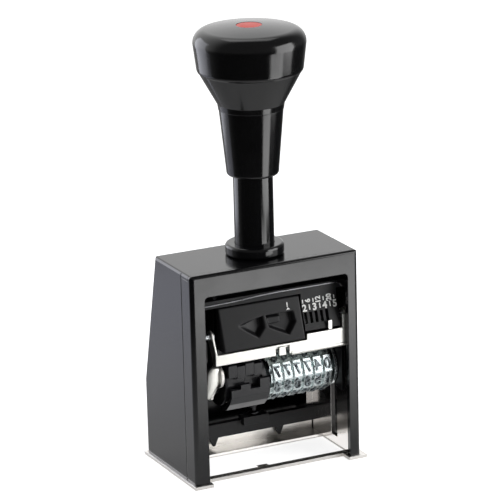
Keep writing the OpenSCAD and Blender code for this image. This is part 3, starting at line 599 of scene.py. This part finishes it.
def stroke(wide, tall):
    wide, tall = wide / 2, tall / 2
    return printedShape("stroke", [(-wide, -tall), (wide, -tall), (wide, tall), (-wide, tall)])


def triangleMark(wide, tall):
    return printedShape("mark", [(-wide / 2, -tall / 2), (wide / 2, -tall / 2), (0, tall / 2)])


thick = scale["thick"] * mm
prints = [onFace(letters(text, scale["tall"] * mm, thick, scale["bold"]), x, scale["figureZ"])
          for text, x in scale["figures"].items()]
prints += [onFace(stroke(*scale["tick"]), x, scale["figureZ"] + scale["tickRise"]) for x in scale["ticks"]]
prints += [onFace(letters(text, scale["small"] * mm, thick, scale["smallBold"]),
                  x, scale["upperZ"], math.pi / 2) for text, x in scale["upper"].items()]
prints += [onFace(stroke(*scale["upperTick"]), x, scale["upperZ"] - scale["tickRise"])
           for x in scale["upperTicks"]]
cartridgePrints = [
    onFace(letters("1", scale["cartridgeTall"] * mm, thick, scale["bold"]), *scale["cartridgeFigure"]),
    onFace(triangleMark(*scale["mark"]), *scale["markAt"])]

# pad-printed paint: flat white that thins a little where the nylon's grain stands up
paintLook = {"grainMm": 0.3, "thinAbove": 0.55, "barestAt": 0.75, "white": "#ececea", "thin": "#9a9a98"}
paint, tree, shader, place = newSurface("padPrintedPaint", Base_Color=linear("#e8e8e6"), Roughness=0.45)
worn = addNode(tree, "ShaderNodeTexNoise", {
    "Vector": place, "Scale": 1 / (paintLook["grainMm"] * mm), "Detail": 3.0})
thin = addNode(tree, "ShaderNodeMapRange", {
    "Value": worn.outputs["Fac"], "From Min": paintLook["thinAbove"], "From Max": paintLook["barestAt"]})
tone = addNode(tree, "ShaderNodeMix", {
    "Factor": thin.outputs["Result"], "A": linear(paintLook["white"]),
    "B": linear(paintLook["thin"])}, data_type="RGBA")
tree.links.new(tone.outputs["Result"], shader.inputs["Base Color"])
newPiece("scaleFigures", joined("scaleFigures", prints), paint, "housing", smooth=False)
newPiece("cartridgeFigure", joined("cartridgeFigure", cartridgePrints), paint, "cartridge",
         smooth=False)
print("cartridge and printed scale made")

# ink pad: a felt block that swells between the frame and the wheels, its edges rounded off
padLook = {"swell": 0.35, "drawnIn": 0.3, "hung": 0.6, "edge": 0.55, "columns": 40, "rows": 16, "layers": 6,
           "fuzz": 0.05, "fuzzWide": 0.8}


def feltPad():
    low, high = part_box("ink_pad")
    middle, half = (low + high) / 2, (high - low) / 2
    count = (padLook["columns"], padLook["rows"], padLook["layers"])
    grid = bmesh.new()
    corners = {}

    def cornerAt(across, up, out, side, i, j):  # shared corner of the six grids that close the block
        spot = [0, 0, 0]
        spot[across] = 2 * i / count[across] - 1
        spot[up] = 2 * j / count[up] - 1
        spot[out] = side
        key = tuple(round(value, 6) for value in spot)
        if key not in corners:
            corners[key] = grid.verts.new(softened(key, middle, half))
        return corners[key]

    for across, up, out in ((0, 1, 2), (1, 2, 0), (2, 0, 1)):
        for side in (-1, 1):
            rows = [[cornerAt(across, up, out, side, i, j) for j in range(count[up] + 1)]
                    for i in range(count[across] + 1)]
            for i in range(count[across]):
                for j in range(count[up]):
                    ring = [rows[i][j], rows[i + 1][j], rows[i + 1][j + 1], rows[i][j + 1]]
                    grid.faces.new(ring if side > 0 else ring[::-1])
    mesh = bpy.data.meshes.new("feltPad")
    grid.to_mesh(mesh)
    grid.free()
    return mesh


def softened(key, middle, half):  # rounds the block's edges and draws its sides in towards top and bottom
    edge, swell = padLook["edge"] * mm, padLook["swell"]
    inner = [max(h - edge, 0) for h in half]
    spot = Vector([k * h for k, h in zip(key, half)])
    core = Vector([max(-i, min(i, s)) for i, s in zip(inner, spot)])
    away = spot - core
    if away.length > edge:
        away *= edge / away.length
    point = core + away
    crown = (1 - key[0] ** 4) * (1 - key[1] ** 2)
    hollow = 1 - key[2] ** 2
    point.y -= math.copysign(swell * padLook["drawnIn"] * mm, key[1]) * (1 - hollow) * abs(key[1])
    if key[2] < 0:
        point.z += swell * mm * (1 - crown) * padLook["hung"]
    point += Vector((1, 1, 1)) * padLook["fuzz"] * mm * noise.noise(point / (padLook["fuzzWide"] * mm))
    return middle + point


# pressed wool felt soaked with ink: blue-black and dull, shiny only where ink stands;
# single fibres are too fine to show, so they are drawn as tufts of 0.3 mm
feltLook = {"fibreMm": 0.3, "fibreDeepMm": 0.15, "soakMm": 5, "dryBelow": 0.35, "wetAbove": 0.7,
            "dryRough": 0.95, "wetRough": 0.55, "dark": "#0c0c16", "pale": "#24243a"}
felt, tree, shader, place = newSurface(
    "inkSoakedWoolFelt", Roughness=feltLook["dryRough"], Sheen_Weight=0.25, Sheen_Roughness=0.6)
fibres = addNode(tree, "ShaderNodeTexNoise", {
    "Vector": place, "Scale": 1 / (feltLook["fibreMm"] * mm), "Detail": 6.0, "Roughness": 0.7})
soaked = addNode(tree, "ShaderNodeTexNoise", {
    "Vector": place, "Scale": 1 / (feltLook["soakMm"] * mm), "Detail": 3.0})
tone = addNode(tree, "ShaderNodeMix", {
    "Factor": fibres.outputs["Fac"], "A": linear(feltLook["dark"]),
    "B": linear(feltLook["pale"])}, data_type="RGBA")
wet = addNode(tree, "ShaderNodeMapRange", {
    "Value": soaked.outputs["Fac"], "From Min": feltLook["dryBelow"], "From Max": feltLook["wetAbove"],
    "To Min": feltLook["dryRough"], "To Max": feltLook["wetRough"]})
matted = addNode(tree, "ShaderNodeBump", {
    "Height": fibres.outputs["Fac"], "Strength": 0.8, "Distance": feltLook["fibreDeepMm"] * mm})
tree.links.new(tone.outputs["Result"], shader.inputs["Base Color"])
tree.links.new(wet.outputs["Result"], shader.inputs["Roughness"])
tree.links.new(matted.outputs[0], shader.inputs["Normal"])
pad = newPiece("inkPadFelt", feltPad(), felt, "pad_holder")
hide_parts("ink_pad")
print("ink pad made")

# thumb tab on the cam crank: a pressed pear of tumbled metal with a domed front
tabLook = {"headX": -21.3, "headZ": 38.3, "head": 3.1, "tipX": -23.9, "tipZ": 31.2, "tip": 1.15,
           "front": -9.4, "thick": 1.0, "dome": 0.55, "shrink": 0.97, "rings": 6, "around": 72}


def pearOutline():
    circles = [(tabLook["headX"], tabLook["headZ"], tabLook["head"]),
               (tabLook["tipX"], tabLook["tipZ"], tabLook["tip"])]
    outline = []
    for step in range(tabLook["around"]):
        turn = 2 * math.pi * step / tabLook["around"]
        spots = [(x + r * math.cos(turn), z + r * math.sin(turn)) for x, z, r in circles]
        outline.append(max(spots, key=lambda spot: spot[0] * math.cos(turn) + spot[1] * math.sin(turn)))
    return outline


def tabMesh():
    outline = pearOutline()
    count, rings = len(outline), tabLook["rings"]
    middleX, middleZ = sum(x for x, z in outline) / count, sum(z for x, z in outline) / count
    points = [(x * mm, (tabLook["front"] + tabLook["thick"]) * mm, z * mm) for x, z in outline]
    faces = [tuple(range(count))]
    for ring in range(rings + 1):
        share = ring / rings  # 0 at the rim, 1 at the middle
        y = tabLook["front"] - tabLook["dome"] * math.sqrt(1 - (1 - share) ** 2)
        shrink = 1 - tabLook["shrink"] * share
        points += [((middleX + (x - middleX) * shrink) * mm, y * mm, (middleZ + (z - middleZ) * shrink) * mm)
                   for x, z in outline]
        start = ring * count
        faces += [(start + i, start + (i + 1) % count, start + count + (i + 1) % count, start + count + i)
                  for i in range(count)]
    faces.append(tuple((rings + 1) * count + i for i in range(count)))
    mesh = meshFrom("crankTab", points, faces)
    shape = bmesh.new()
    shape.from_mesh(mesh)
    bmesh.ops.recalc_face_normals(shape, faces=shape.faces)
    shape.to_mesh(mesh)
    shape.free()
    return mesh


newPiece("crankTab", tabMesh(), surfaces["tumbledNickel"], "wheel_carriage")

# grey bead along the front of the panel's top strip, turned down at its right end: a painted highlight where
# the lip catches the light
beadLook = {"thick": 0.6, "proud": 0.05, "roundness": 4,
            "path": [(-30.2, 64.0), (-22, 63.9), (-12, 64.2), (-4, 64.7), (4, 64.95), (14, 64.9), (24, 64.9),
                     (27.2, 64.8), (28.5, 64.3), (29.2, 63.2)]}
bead = bpy.data.curves.new("lipBead", "CURVE")
bead.dimensions = "3D"
bead.bevel_depth = beadLook["thick"] / 2 * mm
bead.bevel_resolution = beadLook["roundness"]
bead.use_fill_caps = True
line = bead.splines.new("POLY")
line.points.add(len(beadLook["path"]) - 1)
for point, (x, z) in zip(line.points, beadLook["path"]):
    point.co = (x * mm, shoulderY - beadLook["proud"] * mm, z * mm, 1)
lipBead = bpy.data.objects.new("lipBead", bead)
scene.collection.objects.link(lipBead)
bead.materials.append(surfaces["greyBeadPaintedHighlight"])
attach(lipBead, "housing")
print("crank tab and lip bead made")

# return spring, which the plunger shortens: here a cold-wound coil with closed end turns, at the length it
# has in model.glb
springLook = {"wire": 0.4, "turns": 14, "steps": 28, "sides": 10,
              "closed": 2.1}  # height of a closed end turn, as a multiple of the wire's radius


def coilMesh(low, high):
    wire = springLook["wire"] * mm
    middle = (low + high) / 2
    radius = (high.x - low.x) / 2 - wire
    start, end = low.z + wire, high.z - wire
    count, sides = springLook["turns"] * springLook["steps"], springLook["sides"]
    closed = springLook["closed"] * wire
    points, faces = [], []
    for step in range(count + 1):
        turns = step / springLook["steps"]
        inner = (turns - 1) / (springLook["turns"] - 2)
        if turns < 1:
            z = start + closed * turns
        elif inner > 1:
            z = end - closed * (springLook["turns"] - turns)
        else:
            z = start + closed + (end - start - 2 * closed) * inner
        turn = 2 * math.pi * turns
        for side in range(sides):
            around = 2 * math.pi * side / sides
            reach = radius + wire * math.cos(around)
            points.append((middle.x + reach * math.cos(turn), middle.y + reach * math.sin(turn),
                           z + wire * math.sin(around)))
    for step in range(count):
        here, there = step * sides, (step + 1) * sides
        faces += [(here + side, there + side, there + (side + 1) % sides, here + (side + 1) % sides)
                  for side in range(sides)]
    faces += [tuple(range(sides)), tuple(count * sides + side for side in reversed(range(sides)))]
    return meshFrom("returnSpringCoil", points, faces)


springLow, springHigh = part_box("return_spring")
coil = newPiece("returnSpringCoil", coilMesh(springLow, springHigh), surfaces["oiledSpringSteel"],
                "housing")
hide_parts("return_spring")
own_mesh(coil)
print("return spring made")

bpy.context.view_layer.update()
print("done")
